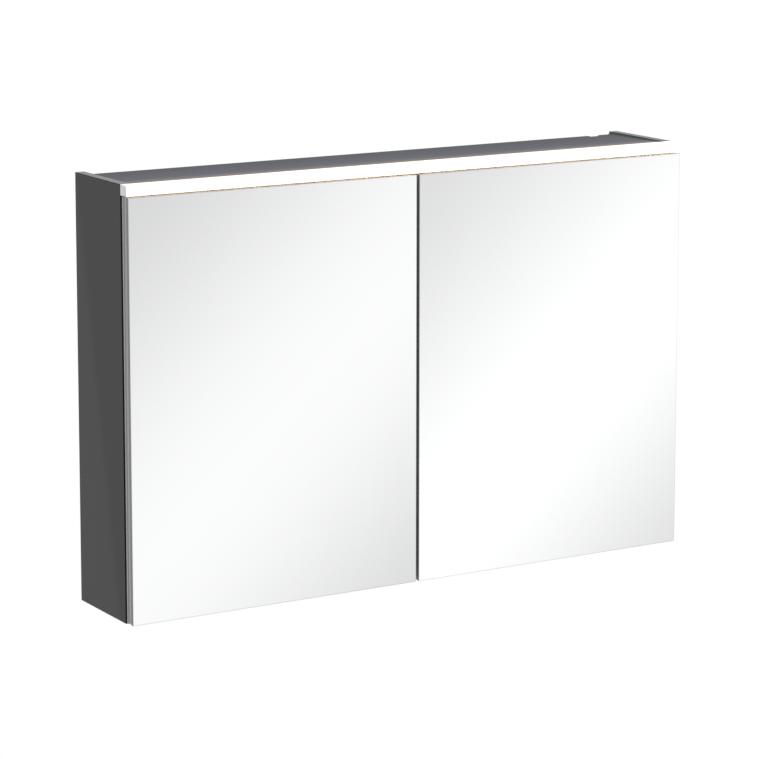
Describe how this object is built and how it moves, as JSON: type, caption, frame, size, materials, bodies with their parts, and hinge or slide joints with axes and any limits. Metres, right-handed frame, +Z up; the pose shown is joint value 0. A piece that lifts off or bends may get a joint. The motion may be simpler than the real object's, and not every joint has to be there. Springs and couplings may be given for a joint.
{
  "type": "medicine cabinet with mirror",
  "caption": "Wall-hung mirror cabinet with handle-less double-sided mirror doors, a full-width light bar on top, glass shelves, and a switch and socket box inside.",
  "frame": {"origin": "centre of the four wall-screw holes, on the wall plane", "axes": "+X along the width to the viewer's right, +Y into the wall, +Z up"},
  "size_m": [1, 0.179, 0.668],
  "materials": {
    "graphite_gloss": "high-gloss graphite lacquer on board",
    "graphite_inside": "satin graphite laminate",
    "top_lacquer": "satin blue-grey lacquer",
    "beech": "raw beech",
    "zinc_steel": "bright zinc",
    "nickel_steel": "polished nickel",
    "mirror_glass": "polished silvered glass",
    "core_edge": "grey edged board",
    "shelf_glass": "clear float glass, polished edges",
    "lamp_aluminium": "satin anodised",
    "opal_diffuser": "opal, lit from inside",
    "lamp_cap": "satin light grey",
    "led_phosphor": "phosphor face",
    "white_plastic": "fine matt texture",
    "black_plastic": "fine matt texture",
    "grommet_rubber": "soft matt",
    "contact_brass": "bright",
    "clear_bumper": "clear satin"
  },
  "bodies": {
    "cabinet": {"left_side_panel": "graphite_gloss", "right_side_panel": "graphite_gloss", "top_panel": "top_lacquer", "bottom_panel": "graphite_inside", "middle_partition": "graphite_inside", "back_panel": "graphite_inside", "panel_dowels": "beech", "cam_locks": "zinc_steel", "cam_bolts": "zinc_steel", "left_lower_shelf": "shelf_glass", "left_upper_shelf": "shelf_glass", "right_lower_shelf": "shelf_glass", "right_upper_shelf": "shelf_glass", "shelf_pins": "nickel_steel", "light_housing": "lamp_aluminium", "light_diffuser": "opal_diffuser", "left_light_cap": "lamp_cap", "right_light_cap": "lamp_cap", "led_board": "white_plastic", "led_chips": "led_phosphor", "light_screws": "nickel_steel", "lamp_lead": "white_plastic", "lead_clips": "black_plastic", "power_box": "white_plastic", "power_box_screws": "nickel_steel", "led_driver": "white_plastic", "terminal_block": "white_plastic", "cable_grommet": "grommet_rubber", "switch_frame": "black_plastic", "socket_insert": "white_plastic", "socket_contacts": "contact_brass", "left_hanger": "black_plastic", "right_hanger": "black_plastic", "left_hanger_hook": "zinc_steel", "right_hanger_hook": "zinc_steel", "hanger_adjusters": "zinc_steel", "hanger_caps": "graphite_inside", "left_wall_plate": "zinc_steel", "right_wall_plate": "zinc_steel", "left_hinge_plates": "nickel_steel", "right_hinge_plates": "nickel_steel", "left_hinge_arms": "nickel_steel", "right_hinge_arms": "nickel_steel", "hinge_plate_screws": "nickel_steel", "hinge_arm_screws": "nickel_steel", "door_bumpers": "clear_bumper"},
    "left_door": {"left_front_mirror": "mirror_glass", "left_door_core": "core_edge", "left_inner_mirror": "mirror_glass", "left_hinge_cups": "nickel_steel", "left_hinge_pins": "nickel_steel", "left_cup_screws": "nickel_steel"},
    "right_door": {"right_front_mirror": "mirror_glass", "right_door_core": "core_edge", "right_inner_mirror": "mirror_glass", "right_hinge_cups": "nickel_steel", "right_hinge_pins": "nickel_steel", "right_cup_screws": "nickel_steel"},
    "switch": {"switch_rocker": "black_plastic"}
  },
  "joints": [
    {"name": "left_door_hinge", "type": "hinge", "parent": "cabinet", "child": "left_door", "pos_m": [-0.4915, -0.167, -0.297], "axis": [0, 0, -1], "range_deg": [0, 105]},
    {"name": "right_door_hinge", "type": "hinge", "parent": "cabinet", "child": "right_door", "pos_m": [0.4915, -0.167, -0.297], "axis": [0, 0, 1], "range_deg": [0, 105]},
    {"name": "switch_rocker_tilt", "type": "hinge", "parent": "cabinet", "child": "switch", "pos_m": [0.312, -0.081, -0.004], "axis": [1, 0, 0], "range_deg": [0, 14]}
  ]
}
